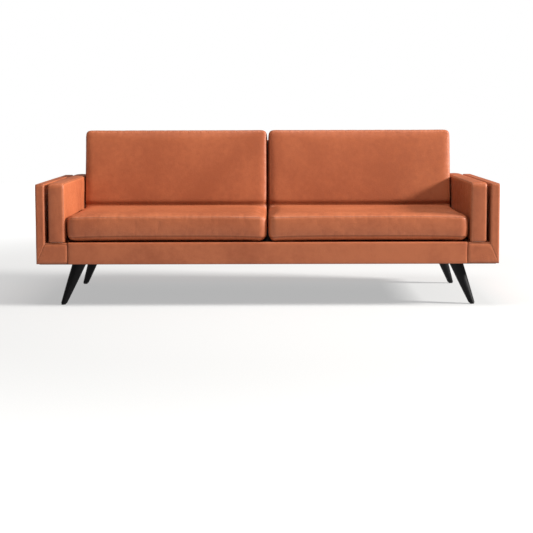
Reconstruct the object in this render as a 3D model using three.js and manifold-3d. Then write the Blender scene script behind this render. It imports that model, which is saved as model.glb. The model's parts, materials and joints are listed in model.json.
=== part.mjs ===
// Three-seat sofa in saddle leather on black stained splayed legs.
//
// Millimetres, +Z up, +X to the sitter's left-hand end as seen from the front (right of the viewer).
// The origin is on the floor under the middle of the overall box. Inside the sofa group Y runs from the
// front faces, at 0, to the back, at DEPTH, and the group is centred on its own box at the end.
//
// The sofa is a hardwood seat box between two L-shaped arms, with a raked back frame behind. Legs screw up
// into plates under the corner blocks. Leather covers are shells around their frames and foam cores. The
// two seat cushions and the two back cushions lift off.

import * as THREE from 'three';
import { mergeVertices } from 'three/addons/utils/BufferGeometryUtils.js';
import Module from 'manifold-3d';

const wasm = await Module();
wasm.setup();

// ---------------------------------------------------------------- driving dimensions
const WIDTH = 2200;
const DEPTH = 870;
const BASE_BOTTOM = 205;
const BASE_TOP = 308;
const ARM_TOP = 585;
const ARM_WIDTH = 148;
const ARM_DEPTH = 850;
const ARM_PANEL = 44;
const ARM_SLOT = 14;
const ARM_PAD = 81;
const ARM_PAD_TOP = 592;
const JOINT_GAP = 4;
const FIT = 0.4; // gap between two pieces that touch
const PAST = 1; // how far a cutting tool passes a thin body
const WELL_PAST = 5; // how far it passes a thick one
const OPEN_PAST = 20; // how far it passes the open foot of a cover

const COVER = 10; // leather over padding, on a hard frame
const BOARD = 18;

const RAIL_THICK = 28;
const RAIL_BOTTOM = 211;
const RAIL_TOP = 288;
const RAIL_REAR = 743; // front face of the rear rail
const RAIL_LIP = 47; // the front rail's leather ends here, under and over the seat box
const FRONT_RAIL = { raise: 4, rise: 8 }; // its underside and its top, above those of the other rails
const RAIL_PLAY = 1; // a long rail ends this far inside the leather's ends
const WRAP_CORNER = 7;
const BLOCK_RUN = 118; // corner block, front to back
const BLOCK_INNER = 842;
const BLOCK_DROP = 8; // top of a corner block, below the rails' tops
const DECK_PAD = { side: 2, rear: 721, above: 2, below: 1 }; // above the webbing, below the rail's leather

const SEAT_DEPTH = 562;
const SEAT_BOTTOM = 310;
const SEAT_TOP = 442;
const CUSHION_GAP = 8; // between the left and the right cushion
const CUSHION_SIDE = 952; // outer side of a cushion, from the middle
const CUSHION_SKIN = 4;
const SEAT_ROUND = { corner: 36, edge: 24 };
const BACK_ROUND = { corner: 30, edge: 20 };
const ZIP = { width: 12, end: 90 }; // end: from the cushion's side to the start of its zip
const WADDING = 14; // between a cushion's leather and its foam

const LEAN = THREE.MathUtils.degToRad(10);
const BACK_CUSHION = 150; // thickness
const BACK_FOOT = 30; // start of the cushion up the rake, where its back corner clears the deck
const BACK_TOP = 529; // end of the cushion up the rake
const BACK_SHELL_FRONT = 156;
const BACK_SHELL_REAR = 218;
const BACK_SHELL_TOP = 500;
const BACK_SHELL_FOOT = 292; // height of its lower edge, in front of the skirt
const BACK_SHELL_WALL = 8;
const BACK_SHELL_CORNER = 3.5;
const BACK_SHELL_KNEE = 12; // up the rake, where the front of the shell meets its lower edge
const BACK_WELL = { top: 490, mouth: 466, ahead: 60 }; // hollow of the shell, and its open front
const BACK_RAILS = { play: 2, foot: 22, seat: 60, under: 452, top: 488 }; // up the rake
const BACK_POST = 34;
const BACK_WEB = { foot: 24, top: 464, end: 4, columns: 6, rows: 3 };
const BACK_LINING = { side: 2, front: 2.5, foot: 30, top: 492 };

const LEG_FOOT = { x: 987, y: 82, r: 14.5 };
const LEG_HEAD = { x: 908, y: 118, r: 34.5 };
const LEG_REAR_FOOT = 772;
const GLIDE = { r: 11, height: 5, edge: 1 };
const PLATE = { size: 76, thick: 3, bottom: 207 };
const LEG_TOP = PLATE.bottom - FIT;
const LEG_EDGE = 1.5; // small slope round the foot of a leg
const LEG_SWELL = 0.8; // how far a leg's flank stands out from a straight taper
const LEG_ROWS = 6;
const LEG_SIDES = 28;
const LEG_HOLE = 4; // cloth cut away round a leg
const BOLT = { r: 4, down: 40, up: 30, end: 2 }; // end: spare depth of its hole at each end
const PLATE_CORNER = 8;

const DUST_COVER = { bottom: 202.6, thick: 2, inset: 13, rear: 770 };
const WEB = { thick: 2.4, strap: 58, middle: 2 }; // middle: from the centre line to a mat
const SEAT_WEB = { rear: 740, columns: 6, rows: 4 };

const ARM_CORNER = 8;
const ARM_FRAME_FOOT = 208;
const PAD_ROUND = { corner: 14, edge: 8 };
const PAD_CROWN = 4; // extra thickness of a pad's leather and wadding on top

const inner = WIDTH / 2 - ARM_WIDTH; // inner face of an arm's base
const seatSide = inner - JOINT_GAP; // end of the seat box
const sides = [['left', -1], ['right', 1]];

// ---------------------------------------------------------------- materials
const finish = (color, roughness, metalness = 0) =>
  new THREE.MeshStandardMaterial({ color, roughness, metalness });
const leather = finish(0xa8623f, 0.45);
const blackWood = finish(0x1d1b1c, 0.5);
const beech = finish(0xc9a273, 0.7);
const foam = finish(0xe9e2cf, 0.9);
const steel = finish(0x8d9095, 0.35, 1);
const darkCloth = finish(0x18181a, 0.95);
const webbing = finish(0x2c2a28, 0.9);
const nylon = finish(0x202022, 0.6);

// ---------------------------------------------------------------- solids
function toSolid(geometry) {
  const bare = (geometry.index ? geometry.toNonIndexed() : geometry.clone());
  bare.deleteAttribute('normal');
  bare.deleteAttribute('uv');
  const merged = mergeVertices(bare, 1e-3);
  return new wasm.Manifold(new wasm.Mesh({
    numProp: 3,
    vertProperties: merged.attributes.position.array,
    triVerts: new Uint32Array(merged.index.array),
  }));
}

function toGeometry(solid) {
  const { vertProperties, triVerts } = solid.getMesh();
  const geometry = new THREE.BufferGeometry();
  geometry.setAttribute('position', new THREE.BufferAttribute(vertProperties, 3));
  geometry.setIndex(new THREE.BufferAttribute(triVerts, 1));
  geometry.computeVertexNormals();
  return geometry;
}

const cut = (body, ...tools) =>
  toGeometry(tools.reduce((left, tool) => left.subtract(toSolid(tool)), toSolid(body)));

/** A closed outline through the points, each corner rounded by radius. */
function outline(points, radius = 0) {
  const shape = new THREE.Shape();
  const corners = points.map(([x, y]) => new THREE.Vector2(x, y));
  if (!radius) return shape.setFromPoints(corners);
  corners.forEach((corner, i) => {
    const before = corners.at(i - 1);
    const after = corners[(i + 1) % corners.length];
    const start = corner.clone().add(before.clone().sub(corner).setLength(radius));
    const end = corner.clone().add(after.clone().sub(corner).setLength(radius));
    if (i) shape.lineTo(start.x, start.y);
    else shape.moveTo(start.x, start.y);
    shape.quadraticCurveTo(corner.x, corner.y, end.x, end.y);
  });
  shape.closePath();
  return shape;
}

const rectangle = (x0, y0, x1, y1) => [[x0, y0], [x1, y0], [x1, y1], [x0, y1]];

const extruded = (shape, length, curveSegments = 3) =>
  new THREE.ExtrudeGeometry(shape, { depth: length, bevelEnabled: false, curveSegments });

/** A plan outline (x, y) carried up from z0 to z1. */
const alongZ = (shape, z0, z1, segments) => extruded(shape, z1 - z0, segments).translate(0, 0, z0);

/** A front outline (x, z) carried back from y0 to y1. */
const alongY = (shape, y0, y1) =>
  extruded(shape, y1 - y0).rotateX(Math.PI / 2).translate(0, y1, 0);

/** A side outline (y, z) carried across from x0 to x1. */
const alongX = (shape, x0, x1) =>
  extruded(shape, x1 - x0).applyMatrix4(
    new THREE.Matrix4().set(0, 0, 1, x0, 1, 0, 0, 0, 0, 1, 0, 0, 0, 0, 0, 1));

const block = (x0, x1, y0, y1, z0, z1) =>
  new THREE.BoxGeometry(Math.abs(x1 - x0), y1 - y0, z1 - z0)
    .translate((x0 + x1) / 2, (y0 + y1) / 2, (z0 + z1) / 2);

/** A soft block: an outline with round corners in plan and round edges above and below. */
function softBlock(x0, x1, y0, y1, z0, z1, corner, edge, segments = 3) {
  const shape = outline(rectangle(x0, y0, x1, y1), corner);
  return new THREE.ExtrudeGeometry(shape, {
    depth: z1 - z0 - 2 * edge,
    bevelThickness: edge,
    bevelSize: edge,
    bevelOffset: -edge,
    bevelSegments: segments,
    curveSegments: segments,
  }).translate(0, 0, z0 + edge);
}

function piece(parent, name, geometry, material) {
  const mesh = new THREE.Mesh(geometry, material);
  mesh.name = name;
  parent.add(mesh);
  return mesh;
}

// ---------------------------------------------------------------- seat box
function seatBox(parent) {
  const frontCore = COVER + FIT;
  const frontBack = frontCore + RAIL_THICK;
  const sideInner = seatSide - RAIL_THICK;
  const railEnd = seatSide - RAIL_PLAY;

  piece(parent, 'front_rail',
    block(-railEnd, railEnd, frontCore, frontBack,
      RAIL_BOTTOM + FRONT_RAIL.raise, RAIL_TOP + FRONT_RAIL.rise), beech);
  piece(parent, 'rear_rail',
    block(-railEnd, railEnd, RAIL_REAR, RAIL_REAR + RAIL_THICK, RAIL_BOTTOM, RAIL_TOP), beech);
  piece(parent, 'centre_brace',
    block(-RAIL_THICK / 2, RAIL_THICK / 2, RAIL_LIP + FIT, RAIL_REAR - FIT, RAIL_BOTTOM, RAIL_TOP), beech);
  sides.forEach(([side, s]) => piece(parent, `side_rail_${side}`,
    block(s * sideInner, s * seatSide, RAIL_LIP + FIT, RAIL_REAR - FIT, RAIL_BOTTOM, RAIL_TOP), beech));

  // The leather of the front rail wraps its front, top and underside, and is open behind.
  const wrap = outline(rectangle(0, BASE_BOTTOM, RAIL_LIP, BASE_TOP), WRAP_CORNER);
  const hollow = outline(rectangle(COVER, RAIL_BOTTOM + FRONT_RAIL.raise - FIT,
    RAIL_LIP + WELL_PAST, RAIL_TOP + FRONT_RAIL.rise + FIT));
  piece(parent, 'front_rail_cover', cut(
    alongX(wrap, -seatSide, seatSide),
    alongX(hollow, -seatSide - WELL_PAST, seatSide + WELL_PAST),
  ), leather);

  const deckFront = RAIL_LIP + FIT;
  piece(parent, 'deck_pad',
    block(-inner + DECK_PAD.side, inner - DECK_PAD.side, deckFront, DECK_PAD.rear,
      RAIL_TOP + WEB.thick + DECK_PAD.above, BASE_TOP - DECK_PAD.below), darkCloth);
  sides.forEach(([side, s]) => {
    const mat = strapMat(s * WEB.middle, s * (seatSide - WEB.middle), deckFront, SEAT_WEB.rear,
      SEAT_WEB.columns, SEAT_WEB.rows);
    piece(parent, `seat_webbing_${side}`, mat.translate(0, 0, RAIL_TOP + FIT), webbing);
  });

  // One black cloth closes the underside, stapled just inside the leather, with a hole for each leg.
  const clothTop = DUST_COVER.bottom + DUST_COVER.thick;
  const edge = WIDTH / 2 - DUST_COVER.inset;
  const legHole = ({ head }) =>
    rod(LEG_HEAD.r + LEG_HOLE, DUST_COVER.bottom - PAST, clothTop + PAST, 24)
      .translate(head.x, head.y, 0);
  piece(parent, 'dust_cover', cut(
    block(-edge, edge, DUST_COVER.inset, DUST_COVER.rear, DUST_COVER.bottom, clothTop),
    ...legPlaces().map(legHole),
  ), darkCloth);
}

/** Straps crossing at right angles as one flat mat: a sheet cut through between each two straps. */
function strapMat(xa, xb, y0, y1, columns, rows) {
  const [x0, x1] = [Math.min(xa, xb), Math.max(xa, xb)];
  const pitchX = (x1 - x0 - WEB.strap) / (columns - 1);
  const pitchY = (y1 - y0 - WEB.strap) / (rows - 1);
  const window = (i, j) => {
    const left = x0 + WEB.strap + i * pitchX;
    const low = y0 + WEB.strap + j * pitchY;
    return block(left, left + pitchX - WEB.strap, low, low + pitchY - WEB.strap,
      -PAST, WEB.thick + PAST);
  };
  const places = Array.from({ length: (columns - 1) * (rows - 1) }, (_, k) => k);
  return cut(block(x0, x1, y0, y1, 0, WEB.thick),
    ...places.map((k) => window(k % (columns - 1), Math.floor(k / (columns - 1)))));
}

// ---------------------------------------------------------------- legs
/** Foot and head centres of the four legs. Each one splays outwards, and the rear pair leans back. */
function legPlaces() {
  const rearHead = LEG_REAR_FOOT - (LEG_HEAD.y - LEG_FOOT.y);
  return sides.flatMap(([side, s]) => [
    { name: `front_${side}`, s, foot: { x: s * LEG_FOOT.x, y: LEG_FOOT.y },
      head: { x: s * LEG_HEAD.x, y: LEG_HEAD.y } },
    { name: `rear_${side}`, s, foot: { x: s * LEG_FOOT.x, y: LEG_REAR_FOOT },
      head: { x: s * LEG_HEAD.x, y: rearHead } },
  ]);
}

/** Turned about Z, then leant over so that its axis runs from foot to head with level ends. */
function leant(geometry, { foot, head }) {
  const runX = (head.x - foot.x) / LEG_TOP;
  const runY = (head.y - foot.y) / LEG_TOP;
  return geometry.applyMatrix4(new THREE.Matrix4().set(
    1, 0, runX, foot.x, 0, 1, runY, foot.y, 0, 0, 1, 0, 0, 0, 0, 1));
}

function turned(profile, segments) {
  return new THREE.LatheGeometry(profile.map(([r, z]) => new THREE.Vector2(r, z)), segments)
    .rotateX(Math.PI / 2);
}

const rod = (r, z0, z1, segments = 12) =>
  turned([[0, z0], [r, z0], [r, z1], [0, z1]], segments);

function legProfile() {
  const bottom = GLIDE.height + FIT;
  const flank = Array.from({ length: LEG_ROWS + 1 }, (_, i) => {
    const t = i / LEG_ROWS;
    const r = THREE.MathUtils.lerp(LEG_FOOT.r, LEG_HEAD.r, t) + LEG_SWELL * Math.sin(Math.PI * t);
    return [r, THREE.MathUtils.lerp(bottom + LEG_EDGE, LEG_TOP, t)];
  });
  return [[0, bottom], [LEG_FOOT.r - LEG_EDGE, bottom], ...flank, [0, LEG_TOP]];
}

function legs(parent) {
  legPlaces().forEach((place) => {
    const { name, s, head } = place;
    const bolt = (r, spare) => leant(rod(r, LEG_TOP - BOLT.down - spare, LEG_TOP + BOLT.up + spare), place);
    const boltHole = () => bolt(BOLT.r + FIT, BOLT.end);
    const turning = leant(turned(legProfile(), LEG_SIDES), place);
    piece(parent, `leg_${name}`, cut(turning, boltHole()), blackWood);
    piece(parent, `leg_bolt_${name}`, bolt(BOLT.r, 0), steel);
    piece(parent, `foot_glide_${name}`, leant(
      turned([[0, 0], [GLIDE.r - GLIDE.edge, 0], [GLIDE.r, GLIDE.edge],
        [GLIDE.r, GLIDE.height], [0, GLIDE.height]], 20), place), nylon);

    const half = PLATE.size / 2;
    const plate = outline(
      rectangle(head.x - half, head.y - half, head.x + half, head.y + half), PLATE_CORNER);
    piece(parent, `leg_plate_${name}`, cut(
      alongZ(plate, PLATE.bottom, PLATE.bottom + PLATE.thick), boltHole()), steel);

    // A block glued into the corner of the seat box takes the top of the bolt.
    const outerFace = s * (seatSide - RAIL_THICK - FIT);
    const blockFront = name.startsWith('front') ? RAIL_LIP + FIT : RAIL_REAR - FIT - BLOCK_RUN;
    piece(parent, `corner_block_${name}`, cut(
      block(s * BLOCK_INNER, outerFace, blockFront, blockFront + BLOCK_RUN,
        RAIL_BOTTOM, RAIL_TOP - BLOCK_DROP),
      boltHole()), beech);
  });
}

// ---------------------------------------------------------------- arms
/** The L of an arm seen from the front, grown by offset; foot is how far down its base reaches. */
function armProfile(s, offset, foot) {
  const outer = WIDTH / 2 + offset;
  const panel = WIDTH / 2 - ARM_PANEL - offset;
  return [[inner - offset, foot], [outer, foot], [outer, ARM_TOP + offset], [panel, ARM_TOP + offset],
    [panel, BASE_TOP + offset], [inner - offset, BASE_TOP + offset]].map(([x, z]) => [s * x, z]);
}

function arms(parent) {
  const board = COVER + FIT;
  const padOuter = WIDTH / 2 - ARM_PANEL - ARM_SLOT;
  const padInner = padOuter - ARM_PAD;
  sides.forEach(([side, s]) => {
    // Plywood: an upright panel on a box-section base.
    piece(parent, `arm_frame_${side}`, cut(
      alongY(outline(armProfile(s, -board, ARM_FRAME_FOOT)), board, ARM_DEPTH - board),
      block(s * (inner + board + BOARD), s * (WIDTH / 2 - board - BOARD), 0, ARM_DEPTH,
        RAIL_BOTTOM + BOARD, BASE_TOP - board - BOARD),
    ), beech);

    piece(parent, `arm_cover_${side}`, cut(
      alongY(outline(armProfile(s, 0, BASE_BOTTOM), ARM_CORNER), 0, ARM_DEPTH),
      alongY(outline(armProfile(s, -COVER, BASE_BOTTOM - OPEN_PAST)), COVER, ARM_DEPTH - COVER),
    ), leather);

    const padFoot = BASE_TOP + FIT;
    const skin = CUSHION_SKIN;
    piece(parent, `arm_pad_cover_${side}`, cut(
      softBlock(s * padInner, s * padOuter, 0, ARM_DEPTH, padFoot, ARM_PAD_TOP,
        PAD_ROUND.corner, PAD_ROUND.edge),
      block(s * (padInner + skin), s * (padOuter - skin), skin, ARM_DEPTH - skin,
        padFoot - OPEN_PAST, ARM_PAD_TOP - skin - PAD_CROWN),
    ), leather);
    const wadded = skin + WADDING / 2;
    piece(parent, `arm_pad_core_${side}`,
      block(s * (padInner + wadded), s * (padOuter - wadded), wadded, ARM_DEPTH - wadded,
        padFoot, ARM_PAD_TOP - wadded - PAD_CROWN), foam);
  });
}

// ---------------------------------------------------------------- back
const rakedFoot = DEPTH - BACK_SHELL_REAR * Math.cos(LEAN) - BACK_SHELL_TOP * Math.sin(LEAN);

/** A point of the raked back, given behind the cushions' front face and up the rake, in the sofa's (y, z). */
const raked = (behind, up) => [
  rakedFoot + behind * Math.cos(LEAN) + up * Math.sin(LEAN),
  BASE_TOP - behind * Math.sin(LEAN) + up * Math.cos(LEAN),
];

function back(parent, rake) {
  // The outer leather: a tray over the back's rear, top and ends, with a skirt over the rear rail.
  const wall = BACK_SHELL_WALL;
  const skirt = raked(BACK_SHELL_REAR, 0)[0];
  const shell = outline([[raked(BACK_SHELL_FRONT, BACK_SHELL_KNEE)[0], BACK_SHELL_FOOT],
    raked(BACK_SHELL_FRONT, BACK_SHELL_TOP), raked(BACK_SHELL_REAR, BACK_SHELL_TOP),
    raked(BACK_SHELL_REAR, 0), [skirt, BASE_BOTTOM], [skirt - wall, BASE_BOTTOM],
    [skirt - wall, BACK_SHELL_FOOT]], BACK_SHELL_CORNER);
  const { top, mouth } = BACK_WELL;
  const ahead = BACK_SHELL_FRONT - BACK_WELL.ahead;
  const well = outline([raked(BACK_SHELL_FRONT + wall, top), raked(BACK_SHELL_REAR - wall, top),
    raked(BACK_SHELL_REAR - wall, 0), raked(ahead, 0),
    raked(ahead, mouth), raked(BACK_SHELL_FRONT + wall, mouth)]);
  piece(parent, 'back_cover', cut(
    alongX(shell, -seatSide, seatSide), alongX(well, -seatSide + wall, seatSide - wall)), leather);

  const post = BACK_POST;
  const rails = BACK_RAILS;
  const railEnd = seatSide - wall - FIT;
  const near = BACK_SHELL_FRONT + wall + rails.play;
  const far = BACK_SHELL_REAR - wall - rails.play;
  piece(rake, 'back_top_rail', block(-railEnd, railEnd, near, far, rails.under, rails.top), beech);
  piece(rake, 'back_bottom_rail', block(-railEnd, railEnd, near, far, rails.foot, rails.seat), beech);
  const upright = (x) =>
    block(x - post / 2, x + post / 2, near, far, rails.seat + FIT, rails.under - FIT);
  piece(rake, 'back_post_left', upright(-railEnd + post / 2), beech);
  piece(rake, 'back_post_centre', upright(0), beech);
  piece(rake, 'back_post_right', upright(railEnd - post / 2), beech);

  sides.forEach(([side, s]) => {
    const mat = strapMat(s * WEB.middle, s * (railEnd - BACK_WEB.end), BACK_WEB.foot, BACK_WEB.top,
      BACK_WEB.columns, BACK_WEB.rows);
    piece(rake, `back_webbing_${side}`, mat.rotateX(Math.PI / 2).translate(0, near - FIT, 0), webbing);
  });
  const liningEnd = seatSide - BACK_LINING.side;
  piece(rake, 'back_lining', block(-liningEnd, liningEnd, BACK_CUSHION + BACK_LINING.front,
    BACK_SHELL_FRONT - FIT, BACK_LINING.foot, BACK_LINING.top), darkCloth);
}

// ---------------------------------------------------------------- loose cushions
/**
 * A zipped cushion: a leather cover with a slot, the zip that closes the slot, and the filling inside.
 * The bounds are [x0, x1, y0, y1, z0, z1]; zipFace is 'rear' or 'under'.
 */
function cushion(parent, name, [x0, x1, y0, y1, z0, z1], { corner, edge }, zipFace) {
  const skin = CUSHION_SKIN;
  const inset = (by, segments) => softBlock(x0 + by, x1 - by, y0 + by, y1 - by, z0 + by, z1 - by,
    corner - by, edge - by, segments);
  const tape = ZIP.width;
  const zipRun = [x0 + ZIP.end, x1 - ZIP.end];
  const midY = (y0 + y1) / 2;
  const midZ = (z0 + z1) / 2;
  const slot = (grow) => (zipFace === 'rear'
    ? block(zipRun[0] - grow, zipRun[1] + grow, y1 - skin + FIT / 2 - 3 * grow, y1 - FIT / 2 + 3 * grow,
      midZ - tape / 2 - grow, midZ + tape / 2 + grow)
    : block(zipRun[0] - grow, zipRun[1] + grow, midY - tape / 2 - grow, midY + tape / 2 + grow,
      z0 + FIT / 2 - 3 * grow, z0 + skin - FIT / 2 + 3 * grow));
  piece(parent, `${name}_cover`, cut(inset(0), inset(skin, 2), slot(1)), leather);
  piece(parent, `${name}_zip`, slot(0), darkCloth);
  piece(parent, `${name}_core`, inset(skin + WADDING, 2), foam);
}

function cushions(parent, rake) {
  sides.forEach(([side, s]) => {
    const x = [s * CUSHION_GAP / 2, s * CUSHION_SIDE].sort((a, b) => a - b);
    cushion(parent, `seat_cushion_${side}`, [...x, 0, SEAT_DEPTH, SEAT_BOTTOM, SEAT_TOP],
      SEAT_ROUND, 'rear');
    cushion(rake, `back_cushion_${side}`, [...x, 0, BACK_CUSHION, BACK_FOOT, BACK_TOP],
      BACK_ROUND, 'under');
  });
}

// ---------------------------------------------------------------- assembly
const sofa = new THREE.Group();
const rake = new THREE.Group();
rake.position.set(0, rakedFoot, BASE_TOP);
rake.rotation.x = -LEAN;
sofa.add(rake);
seatBox(sofa);
legs(sofa);
arms(sofa);
back(sofa, rake);
cushions(sofa, rake);
sofa.position.y = -new THREE.Box3().setFromObject(sofa, true).getCenter(new THREE.Vector3()).y;

const root = new THREE.Group();
root.add(sofa);
export default root;
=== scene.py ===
"""The looks of a leather sofa on splayed black legs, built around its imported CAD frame.

Every soft piece is a sewn box: two panels joined to a band by two seams. The box is worked out as a lattice
surface, bent into the piece's own shape, and swelled with a short cloth simulation where it is stuffed.
Metres, +Z up, in the frame's own axes.
"""

import json
import math

import bpy
import numpy as np
from bpy.props import FloatProperty, FloatVectorProperty, IntProperty, PointerProperty
from mathutils import Matrix, Vector


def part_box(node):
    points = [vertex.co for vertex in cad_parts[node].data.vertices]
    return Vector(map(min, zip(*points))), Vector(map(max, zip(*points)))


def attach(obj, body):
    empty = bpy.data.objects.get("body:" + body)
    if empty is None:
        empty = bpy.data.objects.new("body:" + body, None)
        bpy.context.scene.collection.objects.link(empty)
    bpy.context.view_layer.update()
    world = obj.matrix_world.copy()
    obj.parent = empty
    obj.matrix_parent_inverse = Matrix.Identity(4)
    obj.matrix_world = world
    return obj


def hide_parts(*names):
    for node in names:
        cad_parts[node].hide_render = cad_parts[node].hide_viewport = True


bl_info = {
    "name": "Leather sofa looks",
    "version": (1, 0, 0),
    "blender": (4, 5, 0),
    "location": "3D View > Sidebar > Sofa",
    "description": "Cushions, leather covers, legs and studio for a sofa frame",
    "category": "Object",
}

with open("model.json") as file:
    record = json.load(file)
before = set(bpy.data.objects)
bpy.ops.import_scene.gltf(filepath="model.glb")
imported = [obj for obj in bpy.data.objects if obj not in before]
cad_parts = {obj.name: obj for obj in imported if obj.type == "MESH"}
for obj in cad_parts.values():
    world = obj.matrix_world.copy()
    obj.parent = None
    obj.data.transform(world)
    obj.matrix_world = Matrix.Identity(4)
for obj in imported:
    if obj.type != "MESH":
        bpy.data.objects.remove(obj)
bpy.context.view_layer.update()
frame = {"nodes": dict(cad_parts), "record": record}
SIDES = (("left", -1), ("right", 1))
LEG_PLACES = [f"{end}_{side}" for end in ("front", "rear") for side, _ in SIDES]

# -------- settings

LENGTH = {"subtype": "DISTANCE", "unit": "LENGTH"}
COLOUR = {"subtype": "COLOR", "size": 4, "min": 0, "max": 1}


class LeatherLook(bpy.types.PropertyGroup):
    """Colours and finish of the leather."""

    deep: FloatVectorProperty(
        name="Deep tone", description="Colour of the leather where its dye is thickest",
        default=(0.345, 0.09, 0.035, 1), **COLOUR)
    pale: FloatVectorProperty(
        name="Pale tone", description="Colour of the leather where its dye is thinnest",
        default=(0.455, 0.131, 0.053, 1), **COLOUR)
    # A lighter tone along the edges: partly rub wear, partly a painted highlight on their rounding.
    rub_and_highlight_tone: FloatVectorProperty(
        name="Rubbed tone", description="Colour along the edges that hands and legs rub",
        default=(0.56, 0.18, 0.08, 1), **COLOUR)
    roughness: FloatProperty(
        name="Roughness", description="Middle of the leather's roughness",
        subtype="FACTOR", min=0, max=1, default=0.43)
    pebble: FloatProperty(
        name="Pebble", description="Width of one pebble of the grain",
        min=0.0003, max=0.01, default=0.0016, **LENGTH)


class CushionCut(bpy.types.PropertyGroup):
    """Cut and filling of the loose cushions."""

    cell: FloatProperty(
        name="Cell", description="Distance between neighbouring points of a cushion's leather",
        min=0.004, max=0.05, default=0.011, **LENGTH)
    bulge: FloatProperty(
        name="Bulge", description="How far a cushion's band stands out between its seams",
        min=0, max=0.03, default=0.0055, **LENGTH)
    seam_low: FloatProperty(
        name="Lower seam", description="Height of a seat cushion's lower seam above its underside",
        min=0.005, max=0.05, default=0.021, **LENGTH)
    seam_top: FloatProperty(
        name="Upper seam", description="Depth of a seat cushion's upper seam below its top",
        min=0.005, max=0.05, default=0.022, **LENGTH)
    pressure: FloatProperty(
        name="Pressure", description="Pressure of the filling while a cushion swells",
        min=0, max=20, default=3.0)
    frames: IntProperty(
        name="Frames", description="Frames that a cushion swells for",
        min=2, max=60, default=20)


class LegTurning(bpy.types.PropertyGroup):
    """Turning and stain of the legs."""

    head: FloatProperty(
        name="Head radius", description="Radius of a leg at its top",
        min=0.01, max=0.06, default=0.0345, **LENGTH)
    foot: FloatProperty(
        name="Foot radius", description="Radius of a leg at its foot",
        min=0.005, max=0.04, default=0.0145, **LENGTH)
    stain: FloatVectorProperty(
        name="Stain", description="Colour of the stained wood",
        default=(0.0034, 0.0031, 0.0037, 1), **COLOUR)


class StudioSetup(bpy.types.PropertyGroup):
    """Camera and light."""

    lens: FloatProperty(
        name="Lens", description="Focal length on a 36 mm sensor",
        subtype="DISTANCE_CAMERA", min=10, max=300, default=80.9)
    distance: FloatProperty(
        name="Distance", description="From the camera to the middle of the sofa, on the floor plan",
        min=1, max=20, default=6.08, **LENGTH)
    height: FloatProperty(
        name="Height", description="Height of the camera above the floor",
        min=0, max=5, default=0.938, **LENGTH)
    pitch: FloatProperty(
        name="Pitch", description="How far the camera looks down",
        subtype="ANGLE", unit="ROTATION", min=-1.5, max=1.5, default=0.089)
    key_power: FloatProperty(
        name="Key light", description="Power of the key light",
        subtype="POWER", unit="POWER", min=0, max=9000, default=3350)
    sky: FloatProperty(
        name="Sky", description="Strength of the light from all round",
        min=0, max=5, default=0.18)


class SofaSettings(bpy.types.PropertyGroup):
    """All of the sofa's settings."""

    leather: PointerProperty(name="Leather", description="Leather", type=LeatherLook)
    cushions: PointerProperty(name="Cushions", description="Loose cushions", type=CushionCut)
    legs: PointerProperty(name="Legs", description="Legs", type=LegTurning)
    studio: PointerProperty(name="Studio", description="Camera and light", type=StudioSetup)


# -------- surfaces

TINY = 1e-9  # a length to divide by where there is none


def grid_quads(number):
    """The quads of a grid whose points have the given numbers (rows, columns)."""
    ring = (number[:-1, :-1], number[1:, :-1], number[1:, 1:], number[:-1, 1:])
    return np.stack(ring, axis=-1).reshape(-1, 4)


def tube_faces(rings, around):
    """The faces of a closed tube: quads between its rings of points, and a cap over each end."""
    number = np.arange(rings * around).reshape(rings, around)
    following = np.roll(number, -1, axis=1)
    quads = np.stack((number[:-1], following[:-1], following[1:], number[1:]), axis=-1).reshape(-1, 4)
    return quads.tolist() + [number[0][::-1].tolist(), number[-1].tolist()]


def lattice(nu, nv, nw):
    """The skin of a box of nu by nv by nw cells: its places in whole numbers, and quads that face out."""
    last = np.array((nu, nv, nw))
    places = np.indices(last + 1).reshape(3, -1).T
    on_skin = ((places == 0) | (places == last)).any(axis=1)
    number = np.full(len(places), -1)
    number[on_skin] = np.arange(on_skin.sum())
    number = number.reshape(last + 1)
    quads = []
    for axis in range(3):
        for end in (0, -1):
            sheet = grid_quads(np.moveaxis(number, axis, 0)[end])
            quads.append(sheet[:, ::-1] if (axis == 1) == (end == -1) else sheet)
    return places[on_skin], np.concatenate(quads)


def stations(length, cell, *near):
    """Places centred on 0 over a length, about a cell apart, and more at near distances from its ends."""
    half = length / 2
    reach = max(near, default=0)
    middle = np.linspace(reach - half, half - reach, max(2, round((length - 2 * reach) / cell) + 1))
    ends = np.array([0, *near])
    return np.unique(np.concatenate([ends - half, middle, half - ends]).round(6))


def two_runs(first, second, cell, near_first, near_second):
    """Places centred on 0 over two lengths end to end, each with stations of its own."""
    places = np.concatenate((
        stations(first, cell, *near_first) + first / 2,
        stations(second, cell, *near_second) + first + second / 2))
    return np.unique(places.round(6)) - (first + second) / 2


def smooth(x, low=0.0, high=1.0):
    """Rises from 0 at low to 1 at high as 3s^2 - 2s^3."""
    s = np.clip((x - low) / (high - low), 0, 1)
    return s * s * (3 - 2 * s)


def ripple(run, seed, shortest=0.014, longest=0.05, waves=9, gain=1.8):
    """A run of uneven puckers from -1 to 1: the sum of sines of random length and phase."""
    rng = np.random.default_rng(seed)
    lengths = np.geomspace(shortest, longest, waves) * rng.uniform(0.9, 1.1, waves)
    phases = rng.uniform(0, 2 * math.pi, waves)
    return np.sin(2 * math.pi * run[:, None] / lengths + phases).sum(axis=1) / waves * gain


def drift(places, seed, longest=0.5, waves=8, gain=1.6, last_phase=6.28):
    """A slow unevenness from about -1 to 1: the sum of plane waves in random directions."""
    rng = np.random.default_rng(seed)
    headings = rng.normal(size=(waves, places.shape[1]))
    headings /= np.linalg.norm(headings, axis=1, keepdims=True)
    rates = 2 * math.pi / (longest * rng.uniform(0.35, 1, waves))
    phases = rng.uniform(0, last_phase, waves)
    return np.sin(places @ (headings * rates[:, None]).T + phases).sum(axis=1) / waves * gain


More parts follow.
